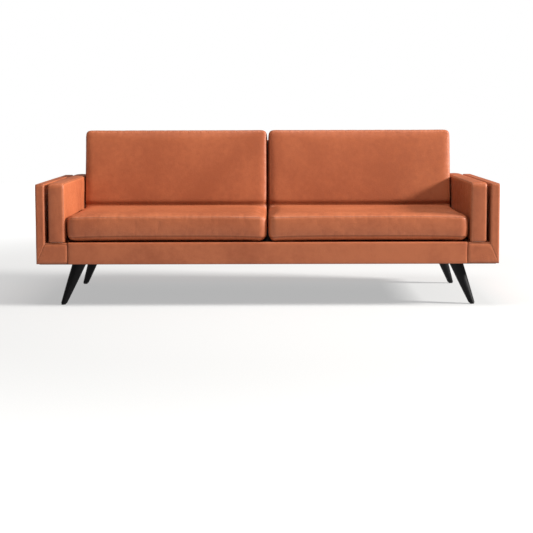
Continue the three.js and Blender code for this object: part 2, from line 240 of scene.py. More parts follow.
class SewnBox:
    """A box of two panels and the band between them, in its own axes p and q over a panel and t through it.

    Panel rings keep their distance from the rim and turn each corner on an arc. A panel rises from its seam
    on a quarter ellipse and then on a dome, the product of two parabolas. The band stands out between its
    seams as a power of a sine or, with turn, on a quarter ellipse that is over within that distance of a
    seam. The seams themselves lie in a groove, and puckers fade out with distance from them.
    Each seam also arches by 1 - (p/a)^4 along the box, from nothing at its ends. The low panel stays level.
    """

    PUCKER_REACH = 0.016  # puckers are down to 1/e this far from their seam
    EVEN_EDGE = 0.08  # the slow unevenness sets in over this distance from a seam
    BAND_POWER = 0.6
    PANEL_GROOVE = 0.6  # depth of a seam's groove in the panel, as a share of its depth in the band
    CREASE_REACH = 0.003
    SEED_SHIFT, CREASE_SHIFT = 0.37, 3.1  # steps along run, so that no two seams pucker alike
    ON_RIM = 1e-6

    def __init__(self, p, q, t, radius, crown=(0, 0), dome=(0, 0), arch=(0, 0), shoulder=0.06,
                 low_shoulder=None, bulge=0.0, turn=None, groove=0.0016, pucker=0.0008,
                 unevenness=0.001, seed=0):
        self.cells, self.quads = lattice(len(p) - 1, len(q) - 1, len(t) - 1)
        self.ends = np.array((len(p), len(q), len(t))) - 1
        self.flat = np.column_stack([axis[i] for axis, i in zip((p, q, t), self.cells.T)])
        flat_p, flat_q, through = self.flat.T
        a, b = rim = np.array((p[-1], q[-1]))
        self.low, self.high = self.cells[:, 2] == 0, self.cells[:, 2] == self.ends[2]
        sign, away = np.sign(self.flat[:, :2]), np.abs(self.flat[:, :2])
        self.rim = (away >= rim - self.ON_RIM).any(axis=1)
        inset = (rim - away).min(axis=1)

        corner = np.maximum(away - rim + radius, 0)
        length = np.maximum(np.linalg.norm(corner, axis=1), TINY)
        arc = corner * (corner.max(axis=1) / length)[:, None]
        plan = sign * (away - corner + arc)
        outward = sign * corner / length[:, None]

        along_band = (through - t[0]) / (t[-1] - t[0])
        to_seam = np.minimum(through - t[0], t[-1] - through)
        panel = self.low | self.high
        self.distance = np.where(panel, inset, to_seam)
        near_p = a - away[:, 0] < b - away[:, 1]
        side_run = np.where(near_p, sign[:, 0] * flat_q, -sign[:, 1] * flat_p)
        p_start = np.where(sign[:, 0] > 0, 0, 2 * (a + b))
        q_start = np.where(sign[:, 1] > 0, a + b, -a - b)
        self.run = side_run + np.where(near_p, p_start, q_start) + self.SEED_SHIFT * seed

        on_seam = self.rim & panel
        puckers = ripple(self.run, seed) * np.exp(-self.distance / self.PUCKER_REACH) * pucker
        waves = drift(self.flat, seed + 1) * unevenness
        puckers = puckers + waves * smooth(self.distance, 0, self.EVEN_EDGE)
        stand = np.sin(math.pi * along_band) ** self.BAND_POWER
        if turn:
            stand = np.sqrt(1 - (1 - np.clip(to_seam / turn, 0, 1)) ** 2)
        out = np.where(panel, 0, bulge * stand + puckers)
        out = np.where(on_seam, -groove, out)
        plan = plan + outward * np.where(self.rim, out, 0)[:, None]

        ring = np.clip(inset / np.where(self.low, low_shoulder or shoulder, shoulder), 0, 1)
        rise = np.sqrt(1 - (1 - ring) ** 2)
        swell = (1 - (flat_p / a) ** 2) * (1 - (flat_q / b) ** 2)
        height = np.where(self.low, crown[0] * rise + dome[0] * swell, crown[1] * rise + dome[1] * swell)
        height = np.where(on_seam, -groove * self.PANEL_GROOVE, height + puckers)
        up = np.where(self.high, 1, np.where(self.low, -1, 0))
        arched = (arch[0] + (arch[1] - arch[0]) * along_band) * (1 - (flat_p / a) ** 4)
        arched = np.where(self.low, arched * (1 - rise), arched)
        self.points = np.column_stack((plan, through + up * height + arched))

    def crease(self, at, depth=0.0014):
        """Adds a seam across the panels at one place of p, by pressing in the points that lie on it."""
        across = np.abs(self.flat[:, 0] - at)
        press = np.exp(-(across / self.CREASE_REACH) ** 2) * depth
        self.points[:, 2] += np.where(self.low, press, np.where(self.high, -press, 0))
        closer = across < self.distance
        self.run = np.where(closer, self.flat[:, 1] + self.CREASE_SHIFT, self.run)
        self.distance = np.minimum(self.distance, across)

    def row(self, q, t):
        """Numbers of the points on the lattice's line along p at one place of q and of t."""
        return np.flatnonzero((self.cells[:, 1] == q) & (self.cells[:, 2] == t))


def make_mesh(name, points, faces, vectors=None):
    """A smooth-shaded object at the origin. vectors holds named (n, 3) arrays, kept as point attributes."""
    mesh = bpy.data.meshes.new(name)
    mesh.from_pydata(np.asarray(points).tolist(), [], [list(f) for f in faces])
    mesh.polygons.foreach_set("use_smooth", np.ones(len(mesh.polygons), dtype=bool))
    for key, values in (vectors or {}).items():
        layer = mesh.attributes.new(key, "FLOAT_VECTOR", "POINT")
        layer.data.foreach_set("vector", np.asarray(values, dtype=np.float32).ravel())
    mesh.update()
    piece = bpy.data.objects.new(name, mesh)
    bpy.context.scene.collection.objects.link(piece)
    return piece


def sewn_piece(name, box, points):
    """The object of a sewn box whose points have been bent into place, with its seam attribute."""
    seam = np.column_stack((box.run, box.distance, np.zeros(len(box.run))))
    return make_mesh(name, points, box.quads, {"seam": seam})


def soften(piece):
    """Rounds a piece with one level of a subdivision surface."""
    modifier = piece.modifiers.new("soften", "SUBSURF")
    modifier.levels = 1
    modifier.render_levels = 1


def dress(piece, material, body, slot, *nodes):
    """Gives a finished piece its material and its body, and hides the CAD nodes that it stands for. slot is
    not used.
    """
    piece.data.materials.clear()
    piece.data.materials.append(material)
    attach(piece, body)
    if nodes:
        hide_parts(*nodes)


def coordinates(mesh):
    """A mesh's points as an (n, 3) array."""
    values = np.empty(len(mesh.vertices) * 3, dtype=np.float32)
    mesh.vertices.foreach_get("co", values)
    return values.reshape(-1, 3).astype(float)


def put_points(piece, points):
    piece.data.vertices.foreach_set("co", points.astype(np.float32).ravel())
    piece.data.update()


STUFFED_LEATHER = {
    "quality": 6, "mass": 0.4, "air_damping": 4, "tension_stiffness": 30, "compression_stiffness": 30,
    "shear_stiffness": 12, "bending_stiffness": 1.2, "shrink_min": -0.003, "use_pressure": True,
    "pin_stiffness": 0.6,
}


def swell(pieces, boxes, cut, cap):
    """Inflates pieces together with a cloth simulation, held along their seams, and keeps the result.

    No point moves further than cap from where it was cut.
    """
    for piece, box in zip(pieces, boxes):
        held = piece.vertex_groups.new(name="held")
        on_seam = np.flatnonzero(box.rim & (box.low | box.high))
        held.add(on_seam.tolist(), 1.0, "REPLACE")
        cloth = piece.modifiers.new("swell", "CLOTH")
        for key, value in STUFFED_LEATHER.items():
            setattr(cloth.settings, key, value)
        cloth.settings.uniform_pressure_force = cut.pressure
        cloth.settings.vertex_group_mass = "held"
        cloth.settings.effector_weights.gravity = 0
        cloth.collision_settings.use_collision = False
        cloth.point_cache.frame_start = 1
        cloth.point_cache.frame_end = cut.frames
    scene = bpy.context.scene
    for number in range(1, cut.frames + 1):
        scene.frame_set(number)
    depsgraph = bpy.context.evaluated_depsgraph_get()
    for piece in pieces:
        before = coordinates(piece.data)
        move = coordinates(piece.evaluated_get(depsgraph).data) - before
        far = np.maximum(np.linalg.norm(move, axis=1, keepdims=True), TINY)
        move *= cap * np.tanh(far / cap) / far
        piece.modifiers.clear()
        piece.vertex_groups.clear()
        put_points(piece, before + move)
    scene.frame_set(1)


def soft_limit(values, low, high, ease=0.003):
    """Keeps values between low and high, easing into each limit over a short way."""
    values = high - ease * np.logaddexp(0, (high - values) / ease)
    return low + ease * np.logaddexp(0, (values - low) / ease)


def carried(path, profile, out):
    """A closed profile (m, 2) carried along a path (n, 3): its x runs across the path, its y along out."""
    forward = np.gradient(path, axis=0)
    forward /= np.linalg.norm(forward, axis=1, keepdims=True)
    out = out - forward * (forward @ out)[:, None]
    out /= np.linalg.norm(out, axis=1, keepdims=True)
    across = np.cross(forward, out)
    points = path[:, None] + across[:, None] * profile[None, :, :1] + out[:, None] * profile[None, :, 1:]
    return points.reshape(-1, 3), tube_faces(len(path), len(profile))


# -------- materials


class Tree:
    """A new node material. add() makes one node and links or sets its inputs, by name or by number."""

    def __init__(self, name):
        self.material = bpy.data.materials.new(name)
        self.material.use_nodes = True
        self.nodes = self.material.node_tree.nodes
        self.links = self.material.node_tree.links
        self.shader = self.nodes["Principled BSDF"]

    def put(self, node, inputs):
        for key, value in inputs.items():
            socket = node.inputs[key]
            if isinstance(value, bpy.types.NodeSocket):
                self.links.new(value, socket)
            else:
                socket.default_value = value

    def add(self, kind, inputs=None, **settings):
        node = self.nodes.new(kind)
        for key, value in settings.items():
            setattr(node, key, value)
        self.put(node, inputs or {})
        return node

    def finish(self, colour, roughness, normal, more=None):
        """Sets the shader's inputs, and gives the material."""
        inputs = {"Base Color": colour, "Roughness": roughness, "Normal": normal}
        self.put(self.shader, {**inputs, **(more or {})})
        return self.material

    def math(self, operation, *values):
        return self.add("ShaderNodeMath", dict(enumerate(values)), operation=operation).outputs[0]

    def with_share(self, value, other, share):
        """A value plus a share of another."""
        return self.math("ADD", value, self.math("MULTIPLY", other, share))

    def attribute(self, name):
        return self.add("ShaderNodeAttribute", attribute_name=name).outputs["Vector"]

    def place(self, scale=(1, 1, 1)):
        """The point's place on the piece, scaled."""
        at = self.add("ShaderNodeTexCoord").outputs["Object"]
        return self.add("ShaderNodeMapping", {"Vector": at, "Scale": scale}).outputs[0]

    def noise(self, vector, scale, detail=2.0, roughness=0.5, distortion=0.0):
        inputs = {"Vector": vector, "Scale": scale, "Detail": detail, "Roughness": roughness}
        return self.add("ShaderNodeTexNoise", {**inputs, "Distortion": distortion}).outputs["Fac"]

    def range(self, value, span, to=(0, 1), kind="SMOOTHSTEP"):
        """Carries a value from one span to another."""
        inputs = {"Value": value, "From Min": span[0], "From Max": span[1], "To Min": to[0], "To Max": to[1]}
        return self.add("ShaderNodeMapRange", inputs, interpolation_type=kind).outputs[0]

    def mix(self, factor, a, b, blend="MIX"):
        node = self.add("ShaderNodeMix", data_type="RGBA", blend_type=blend)
        self.put(node, {0: factor, 6: a, 7: b})
        return node.outputs[2]

    def bump(self, height, distance, strength=1.0, normal=None):
        inputs = {"Height": height, "Distance": distance, "Strength": strength}
        if normal is not None:
            inputs["Normal"] = normal
        return self.add("ShaderNodeBump", inputs).outputs[0]


def leather_material(name, look):
    """Leather: uneven dye, a pebbled grain with creases, puckers and painted shade at its seams, and edges
    lighter by rub wear and a painted highlight.
    """
    rub_and_highlight_reach, shade_reach, fold_reach = (0.012, 0.003), (0.0002, 0.0026), (0.026, 0)
    gloss = (look.roughness + 0.07, look.roughness - 0.07)
    tree = Tree(name)
    at = tree.place()
    cloud = tree.noise(at, scale=2.2, detail=5, roughness=0.55, distortion=0.3)
    freckle = tree.noise(at, scale=38, detail=4, roughness=0.6)
    dye = tree.with_share(tree.math("MULTIPLY", cloud, 0.75), freckle, share=0.25)
    colour = tree.mix(tree.range(dye, (0.36, 0.64)), tuple(look.deep), tuple(look.pale))

    seam = tree.add("ShaderNodeSeparateXYZ", {0: tree.attribute("seam")})
    run, distance = seam.outputs[0], seam.outputs[1]
    along = tree.add("ShaderNodeCombineXYZ", {0: run}).outputs[0]
    # Lighter beside the seams and streaky along them: partly rub wear, partly a painted highlight on the
    # rounded edges.
    streak = tree.range(tree.noise(along, scale=60), (0.3, 0.7), to=(0.08, 0.34))
    rub = tree.math("MULTIPLY", tree.range(distance, rub_and_highlight_reach), streak)
    colour = tree.mix(rub, colour, tuple(look.rub_and_highlight_tone))
    shade = tree.range(distance, shade_reach, to=(0.6, 1))
    grey = tree.add("ShaderNodeCombineColor", {0: shade, 1: shade, 2: shade}).outputs[0]
    colour = tree.mix(1.0, colour, grey, "MULTIPLY")

    pebbles = {"Vector": at, "Scale": 1 / look.pebble}
    walls = tree.add("ShaderNodeTexVoronoi", pebbles, feature="DISTANCE_TO_EDGE").outputs[0]
    pebble = tree.range(walls, (0, 0.22))
    pores = tree.noise(at, scale=1500)
    crease = tree.noise(tree.place((1, 1, 1.6)), scale=42, detail=3, roughness=0.6, distortion=0.6)
    folds = tree.math("MULTIPLY", tree.noise(along, scale=95), tree.range(distance, fold_reach))
    normal = tree.bump(crease, distance=0.0009, strength=0.55)
    normal = tree.bump(folds, distance=0.0022, strength=0.6, normal=normal)
    grain = tree.with_share(pebble, pores, share=0.35)
    normal = tree.bump(grain, distance=0.00013, strength=0.7, normal=normal)
    polish = tree.with_share(freckle, pebble, share=-0.12)
    roughness = tree.range(polish, (0.25, 0.75), gloss, "LINEAR")
    return tree.finish(colour, roughness, normal, {"Specular IOR Level": 0.32})


def stained_wood_material(name, stain):
    """Black stain over open-grained wood, with the grain drawn along the turned axis."""
    stretch, lighter = (1, 1, 0.045), 2.4
    tree = Tree(name)
    along = tree.add("ShaderNodeMapping", {"Vector": tree.attribute("grain"), "Scale": stretch}).outputs[0]
    fibre = tree.noise(along, scale=620, detail=4, roughness=0.6, distortion=0.4)
    ring = tree.noise(along, scale=90, detail=3, distortion=1.2)
    grain = tree.with_share(tree.math("MULTIPLY", fibre, 0.6), ring, share=0.4)
    worn = tuple(min(1, lighter * channel) for channel in tuple(stain)[:3]) + (1,)
    colour = tree.mix(tree.range(grain, (0.42, 0.68)), tuple(stain), worn)
    roughness = tree.range(ring, (0.3, 0.7), (0.42, 0.58), "LINEAR")
    normal = tree.bump(grain, distance=0.0006, strength=0.7)
    return tree.finish(colour, roughness, normal, {"Specular IOR Level": 0.15})


def planed_wood_material(name):
    """Planed hardwood: long fibres along X, with darker flecks."""
    pale, brown, dark = (0.62, 0.42, 0.24, 1), (0.44, 0.26, 0.13, 1), (0.25, 0.13, 0.06, 1)
    tree = Tree(name)
    fibre = tree.noise(tree.place((0.05, 1, 1)), scale=160, detail=5, roughness=0.6, distortion=0.6)
    fleck = tree.noise(tree.place((0.25, 1, 1)), scale=420)
    colour = tree.mix(tree.range(fibre, (0.35, 0.68)), pale, brown)
    colour = tree.mix(tree.range(fleck, (0.62, 0.72), (0, 0.5)), colour, dark)
    return tree.finish(colour, tree.range(fibre, (0, 1), (0.55, 0.72)), tree.bump(fibre, distance=0.0004))


def woven_material(name, dark, light, pitch):
    """A plain weave: two square waves at right angles, each thread rounded and a little uneven."""
    wave_at_one = 0.314
    tree = Tree(name)
    at = tree.place()
    wave = {"Vector": at, "Scale": wave_at_one / pitch, "Distortion": 0.4, "Detail": 1}
    warp, weft, rise = (
        tree.add("ShaderNodeTexWave", wave, bands_direction=axis).outputs["Fac"] for axis in "XYZ")
    weave = tree.math("MAXIMUM", tree.math("MULTIPLY", warp, weft), tree.math("MULTIPLY", rise, warp))
    fuzz = tree.noise(at, scale=900, detail=3)
    colour = tree.mix(tree.range(tree.with_share(weave, fuzz, share=0.4), (0.1, 1.1)), dark, light)
    roughness = tree.range(fuzz, (0, 1), (0.8, 0.98))
    return tree.finish(colour, roughness, tree.bump(weave, distance=0.0005), {"Sheen Weight": 0.2})


def plain_finish(name, colour, worn, roughness, metallic=0.0, scale=300.0, depth=0.0002):
    """A hard finish with fine tooth: noise in its colour, roughness and bump."""
    tree = Tree(name)
    at = tree.place()
    tooth = tree.noise(at, scale, detail=4, roughness=0.6)
    patch = tree.noise(at, scale / 12, detail=3)
    colour = tree.mix(tree.range(patch, (0.35, 0.7)), colour, worn)
    rough = tree.range(tooth, (0.2, 0.8), (roughness - 0.08, roughness + 0.1))
    return tree.finish(colour, rough, tree.bump(tooth, depth), {"Metallic": metallic})


def foam_material(name):
    """Open-cell foam: small round cells with pale walls."""
    hollow, wall = (0.62, 0.55, 0.4, 1), (0.86, 0.81, 0.68, 1)
    tree = Tree(name)
    cells = tree.add("ShaderNodeTexVoronoi", {"Vector": tree.place(), "Scale": 420}).outputs["Distance"]
    colour = tree.mix(tree.range(cells, (0.1, 0.7)), hollow, wall)
    return tree.finish(colour, tree.range(cells, (0, 1), (0.85, 0.98)), tree.bump(cells, distance=0.0008))


# -------- pieces


def cached(name, make, *args, **settings):
    """The material of that name, made on first use. No name is also one of the record's slots."""
    return bpy.data.materials.get(name) or make(name, *args, **settings)


def leather():
    return cached("grained_leather", leather_material, bpy.context.scene.sofa.leather)


def stained_grain():
    return cached("stained_grain", stained_wood_material, bpy.context.scene.sofa.legs.stain)


def black_cloth():
    dark, light, pitch = (0.006, 0.006, 0.007, 1), (0.03, 0.03, 0.032, 1), 0.0012
    return cached("woven_black_cloth", woven_material, dark, light, pitch)


def raked_axes():
    """The raked back's axes as rows: along the sofa, up the rake, and square to it towards the front."""
    joints = frame["record"]["behaviour"]["joints"]
    up = np.array(next(j["axis"] for j in joints if j["name"] == "lift_back_cushion_left"), dtype=float)
    up /= np.linalg.norm(up)
    return np.array(((1, 0, 0), up, (0, -up[2], up[1])))


NEAR = (0.003, 0.009)  # the usual rows of points beside a seam
UPRIGHT_AXES = np.eye(3)
FRONT_AXES = np.array(((1, 0, 0), (0, 0, 1), (0, -1, 0)))
SIDE_AXES = np.array(((0, 1, 0), (0, 0, 1), (1, 0, 0)))
FLOOR_AXES = np.array(((1, 0, 0), (0, -1, 0), (0, 0, -1)))


def cad_points(node):
    return coordinates(frame["nodes"][node].data)


def extent(node, axes):
    """The lowest and highest corner of a CAD node along a set of axes, given as rows."""
    local = cad_points(node) @ axes.T
    return local.min(axis=0), local.max(axis=0)


def leather_cover(name, box, points, node):
    """A softened leather piece of the frame that stands for a CAD node."""
    piece = sewn_piece(name, box, points)
    soften(piece)
    dress(piece, leather(), "frame", "saddle_leather", node)
    return piece


def squared(heights, low, high, foot_gap=0.0005, top_spare=0.001, ease=0.0003):
    """Squares off a cover's foot and top: just clear of the CAD cover's foot, and a little past its top."""
    return soft_limit(heights, low + foot_gap, high + top_spare, ease)


def on_path(path, x):
    """The points of a path at places along X. The path's own points are sorted by X."""
    return np.column_stack([x] + [np.interp(x, path[:, 0], path[:, i]) for i in (1, 2)])


# Where the seat dents a back cushion: the dent's depth, its half height, and how far behind the face it ends
PINCH_DEPTH, PINCH_REACH, PINCH_TURN = 0.0125, 0.012, 0.02


def loose_cushions(kind, axes, seams, cut, form, spare, pinch=None):
    """Makes the left and right cushion, seat or back, in the box of its CAD cover along the given axes.

    seams are the places of the two seams, in from the cover's lowest and highest face. spare is how far the
    cushion passes that cover: towards the arm and towards its neighbour, then below and above on each of the
    two other axes. pinch is a height where a cushion's front is pressed in, as exp(-(z / reach)^2).
    """
    made = []
    for side, sign in SIDES:
        low, high = extent(f"{kind}_cushion_{side}_cover", axes)
        beside = spare[0] if sign < 0 else spare[0][::-1]
        low -= (beside[0], spare[1][0], spare[2][0])
        high += (beside[1], spare[1][1], spare[2][1])
        size = high - low
        p, q = (stations(size[i] - 2 * cut.bulge, cut.cell, *NEAR, 0.018) for i in (0, 1))
        t = stations(size[2] - sum(seams), cut.cell, *NEAR)
        box = SewnBox(p, q, t, bulge=cut.bulge, seed=19 + sign, **form)
        centre = (low + high) / 2 + (0, 0, (seams[0] - seams[1]) / 2)
        piece = sewn_piece(f"{kind}_cushion_{side}", box, (box.points + centre) @ axes)
        made.append((piece, box, low, high))
    swell([m[0] for m in made], [m[1] for m in made], cut, cap=0.012)
    for (side, _), (piece, _, low, high) in zip(SIDES, made):
        world = coordinates(piece.data)
        local = world @ axes.T
        for axis in range(3):
            local[:, axis] = soft_limit(local[:, axis], low[axis], high[axis])
        if pinch is not None:
            front = smooth(local[:, 2], (low[2] + high[2]) / 2, high[2] - PINCH_TURN)
            local[:, 2] -= front * PINCH_DEPTH * np.exp(-((world[:, 2] - pinch) / PINCH_REACH) ** 2)
        put_points(piece, local @ axes)
        soften(piece)
        body = f"{kind}_cushion_{side}"
        dress(piece, leather(), body, "saddle_leather", f"{body}_cover")
    return [m[:2] for m in made]


# A zip's parts as (along, across, out of the band): halves for the tape and the slider, wholes for a tooth
TAPE_HALF, TAPE_RISE, TAPE_SIDES, TAPE_STEPS = (0.011, 0.0006), 0.0002, 16, 120
TOOTH, TOOTH_PITCH, TOOTH_STAGGER = (0.0018, 0.0036, 0.0012), 0.0032, 0.0006
SLIDER_HALF, SLIDER_CELLS = (0.006, 0.0042, 0.0012), (6, 6, 2)
PULL_SHARE, PULL_AT = (1.9, 0.75, 0.6), (0.013, 0, 0.0014)
TAPE_LIFT, TOOTH_LIFT, SLIDER_LIFT, ZIP_END = 0.0007, 0.0011, 0.0016, 0.004


def add_zips(kind, made, end, out):
    """Gives each cushion a zip, midway between its seams at one end of its q axis: 0 or 1."""
    for (side, _), (piece, box) in zip(SIDES, made):
        line = box.row(q=end * box.ends[1], t=box.ends[2] // 2)
        add_zip(f"{kind}_zip_{side}", piece, line, out, f"{kind}_cushion_{side}")


def add_zip(name, piece, line, out, body):
    """A zip along a line of a cushion's points: a cloth tape, a row of teeth, and a slider with its pull.

    The tape is an ellipse carried along the line. The slider is a box whose plan is a square drawn in to a
    disc, x * sqrt(1 - y^2 / 2), and its pull is the same shape again, longer and flatter.
    """
    path = coordinates(piece.data)[line]
    path = path[np.argsort(path[:, 0])]
    node = f"{body}_zip"
    low, high = (corner[0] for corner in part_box(node))
    out = np.asarray(out, dtype=float)
    across = np.cross((1, 0, 0), out)
    path = on_path(path, np.linspace(low, high, TAPE_STEPS)) + out * TAPE_LIFT
    angles = np.linspace(0, 2 * math.pi, TAPE_SIDES, endpoint=False)
    ellipse = np.column_stack((np.cos(angles), np.sin(angles))) * TAPE_HALF + (0, TAPE_RISE)
    tape = make_mesh(f"{name}_tape", *carried(path, ellipse, out))
    dress(tape, black_cloth(), body, "black_cloth", node)

    middles = on_path(path, np.arange(low + ZIP_END, high - ZIP_END, TOOTH_PITCH))
    numbers = np.arange(len(middles))
    corners, quads = lattice(1, 1, 1)
    axes = np.array(((1, 0, 0), across, out))
    stagger = (numbers % 2 * 2 - 1)[:, None, None] * across * TOOTH_STAGGER
    teeth = middles[:, None] + stagger + (corners - 0.5) * TOOTH @ axes + out * TOOTH_LIFT
    faces = (quads[None] + numbers[:, None, None] * len(corners)).reshape(-1, 4)
    row = make_mesh(f"{name}_teeth", teeth.reshape(-1, 3), faces)
    nylon = cached("zip_teeth", plain_finish, (0.02, 0.02, 0.021, 1), (0.05, 0.05, 0.05, 1), 0.35)
    dress(row, nylon, body, "black_cloth")

    cells, faces = lattice(*SLIDER_CELLS)
    square = (cells / SLIDER_CELLS - 0.5) * 2
    disc = square[:, :2] * np.sqrt(1 - square[:, 1::-1] ** 2 / 2)
    local = np.column_stack((disc, square[:, 2])) * SLIDER_HALF
    pull = local * PULL_SHARE + PULL_AT
    both = np.concatenate((local, pull)) @ axes + path[3] + out * SLIDER_LIFT
    slider = make_mesh(f"{name}_slider", both, np.concatenate((faces, faces + len(local))))
    soften(slider)
    grey, worn = (0.2, 0.2, 0.21, 1), (0.32, 0.32, 0.33, 1)
    steel = cached("zip_slider", plain_finish, grey, worn, 0.3, 1.0, 900.0, 0.00005)
    dress(slider, steel, body, "black_cloth")


class SOFA_OT_seat_cushions(bpy.types.Operator):
    """Sews, swells and places the two loose seat cushions, with a zip along the back of each"""

    bl_idname = "sofa.seat_cushions"
    bl_label = "Seat cushions"

    def execute(self, context):
        cut = context.scene.sofa.cushions
        form = dict(radius=0.034, crown=(0.02, 0.014), dome=(0, 0.003), arch=(0.008, 0.007), shoulder=0.055,
                    low_shoulder=0.018, pucker=0.0008, unevenness=0.0012)
        seams = (cut.seam_low, cut.seam_top)
        spare = ((0.005, 0.0025), (0.002, 0.002), (-0.0008, 0.004))
        made = loose_cushions("seat", UPRIGHT_AXES, seams, cut, form, spare)
        add_zips("seat", made, end=1, out=UPRIGHT_AXES[1])
        return {"FINISHED"}


class SOFA_OT_back_cushions(bpy.types.Operator):
    """Sews, swells and places the two loose back cushions, with a zip under each"""

    bl_idname = "sofa.back_cushions"
    bl_label = "Back cushions"

    def execute(self, context):
        cut = context.scene.sofa.cushions
        axes = raked_axes()
        form = dict(radius=0.026, crown=(0.01, 0.0095), dome=(0.002, 0.006), shoulder=0.034,
                    pucker=0.0003, unevenness=0.0014)
        seams = (0.012, 0.01)
        spare = ((0.0078, 0.0028), (-0.0005, 0.006), (0, 0.004))
        seat_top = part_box("seat_cushion_left_cover")[1][2]
        made = loose_cushions("back", axes, seams, cut, form, spare, seat_top)
        add_zips("back", made, end=0, out=-axes[1])
        return {"FINISHED"}


class SOFA_OT_arm_pads(bpy.types.Operator):
    """Makes the padded inset of each arm: an inner and an outer panel with a band between them"""

    bl_idname = "sofa.arm_pads"
    bl_label = "Arm pads"

    def execute(self, context):
        for side, sign in SIDES:
            node = f"arm_pad_cover_{side}"
            low, high = extent(node, SIDE_AXES)
            # The rounded lower corners start below the arm's base, and are pressed flat onto it.
            bulge, crown, foot_gap, top_spare, below = 0.0035, 0.005, 0.0002, 0.01, 0.014
            foot, top = low[1] + foot_gap, high[1] + top_spare
            low[1] -= below
            size = high - low
            p, q = (stations(size[i] - 2 * bulge, 0.014, *NEAR, 0.018) for i in (0, 1))
            t = stations(size[2] - 2 * crown, 0.012, *NEAR)
            box = SewnBox(p, q, t, radius=0.02, crown=(crown, crown), shoulder=0.04, bulge=bulge,
                          pucker=0.0009, unevenness=0.0011, seed=51 + sign)
            local = box.points + (low + high) / 2
            local[:, 1] = soft_limit(local[:, 1], foot, top, ease=0.0006)
            piece = leather_cover(f"arm_pad_{side}", box, local @ SIDE_AXES, node)
        return {"FINISHED"}


ROUND_EDGE = 0.0034  # how far a leather-covered board is rounded at its edges


class SOFA_OT_arm_covers(bpy.types.Operator):
    """Makes the leather of each arm: an upright and a base in one L, mitred where they meet"""

    bl_idname = "sofa.arm_covers"
    bl_label = "Arm covers"

    def execute(self, context):
        # The box is bent into an L: p runs out along the base and then up the outer panel, q runs from the
        # outer face to the inner one, and t runs from the rear to the front.
        base, upright, width = 0.13, 0.33, 0.066
        under_pad, panel_up, panel_most = 0.0025, 0.1, 0.035
        for side, sign in SIDES:
            node = f"arm_cover_{side}"
            low, high = (np.array(corner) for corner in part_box(node))
            across = sorted(abs(x) for x in (low[0], high[0]))
            pad_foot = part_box(f"arm_pad_cover_{side}")[0][2] - under_pad
            points = cad_points(node)
            slot_side = np.abs(points[points[:, 2] > pad_foot + panel_up, 0])
            slot_side = slot_side[slot_side < across[1] - panel_most].min()
            p = two_runs(base, upright, 0.02, NEAR, NEAR)
            q = stations(width - 2 * ROUND_EDGE, 0.012, *NEAR)
            t = stations(high[1] - low[1] - 2 * ROUND_EDGE, 0.018, 0.0012, 0.0035, 0.009)
            box = SewnBox(p, q, t, radius=0.007, crown=(ROUND_EDGE, ROUND_EDGE), shoulder=0.011,
                          bulge=ROUND_EDGE, turn=0.0045, groove=0.0003, pucker=0.0004, unevenness=0.0007,
                          seed=71 + sign)
            box.crease(base - (base + upright) / 2)

            along = box.points[:, 0] + (base + upright) / 2
            over = box.points[:, 1] / width + 0.5
            at_base = along <= base
            step = np.where(at_base, along / base, (along - base) / upright)
            outer_x = np.where(at_base, across[0] + step * (across[1] - across[0]), across[1])
            inner_x = np.where(at_base, across[0] + step * (slot_side - across[0]), slot_side)
            outer_z = np.where(at_base, low[2], low[2] + step * (high[2] - low[2]))
            inner_z = np.where(at_base, pad_foot, pad_foot + step * (high[2] - pad_foot))
            x = outer_x + over * (inner_x - outer_x)
            z = outer_z + over * (inner_z - outer_z)
            z = squared(z, low[2], high[2])
            y = (low[1] + high[1]) / 2 - box.points[:, 2]
            if sign < 0:
                box.quads = box.quads[:, ::-1]
            leather_cover(f"arm_{side}", box, np.column_stack((sign * x, y, z)), node)
        return {"FINISHED"}


class SOFA_OT_front_rail(bpy.types.Operator):
    """Makes the leather-covered front rail between the arms"""

    bl_idname = "sofa.front_rail"
    bl_label = "Front rail"

    def execute(self, context):
        low, high = extent("front_rail_cover", FRONT_AXES)
        size = high - low
        near, no_seam = (0.002, 0.007), 1.0
        p, q = (stations(size[i], cell, *near) for i, cell in ((0, 0.03), (1, 0.016)))
        t = stations(size[2] - ROUND_EDGE, 0.012, *near)
        box = SewnBox(p, q, t, radius=0.003, crown=(0, ROUND_EDGE), shoulder=0.012, bulge=0.001, turn=0.004,
                      groove=0.0002, pucker=0, unevenness=0.0009, seed=91)
        box.distance[:] = no_seam
        local = box.points + (low + high) / 2 - (0, 0, ROUND_EDGE / 2)
        local[:, 1] = squared(local[:, 1], low[1], high[1])
        leather_cover("front_rail_leather", box, local @ FRONT_AXES, "front_rail_cover")
        return {"FINISHED"}


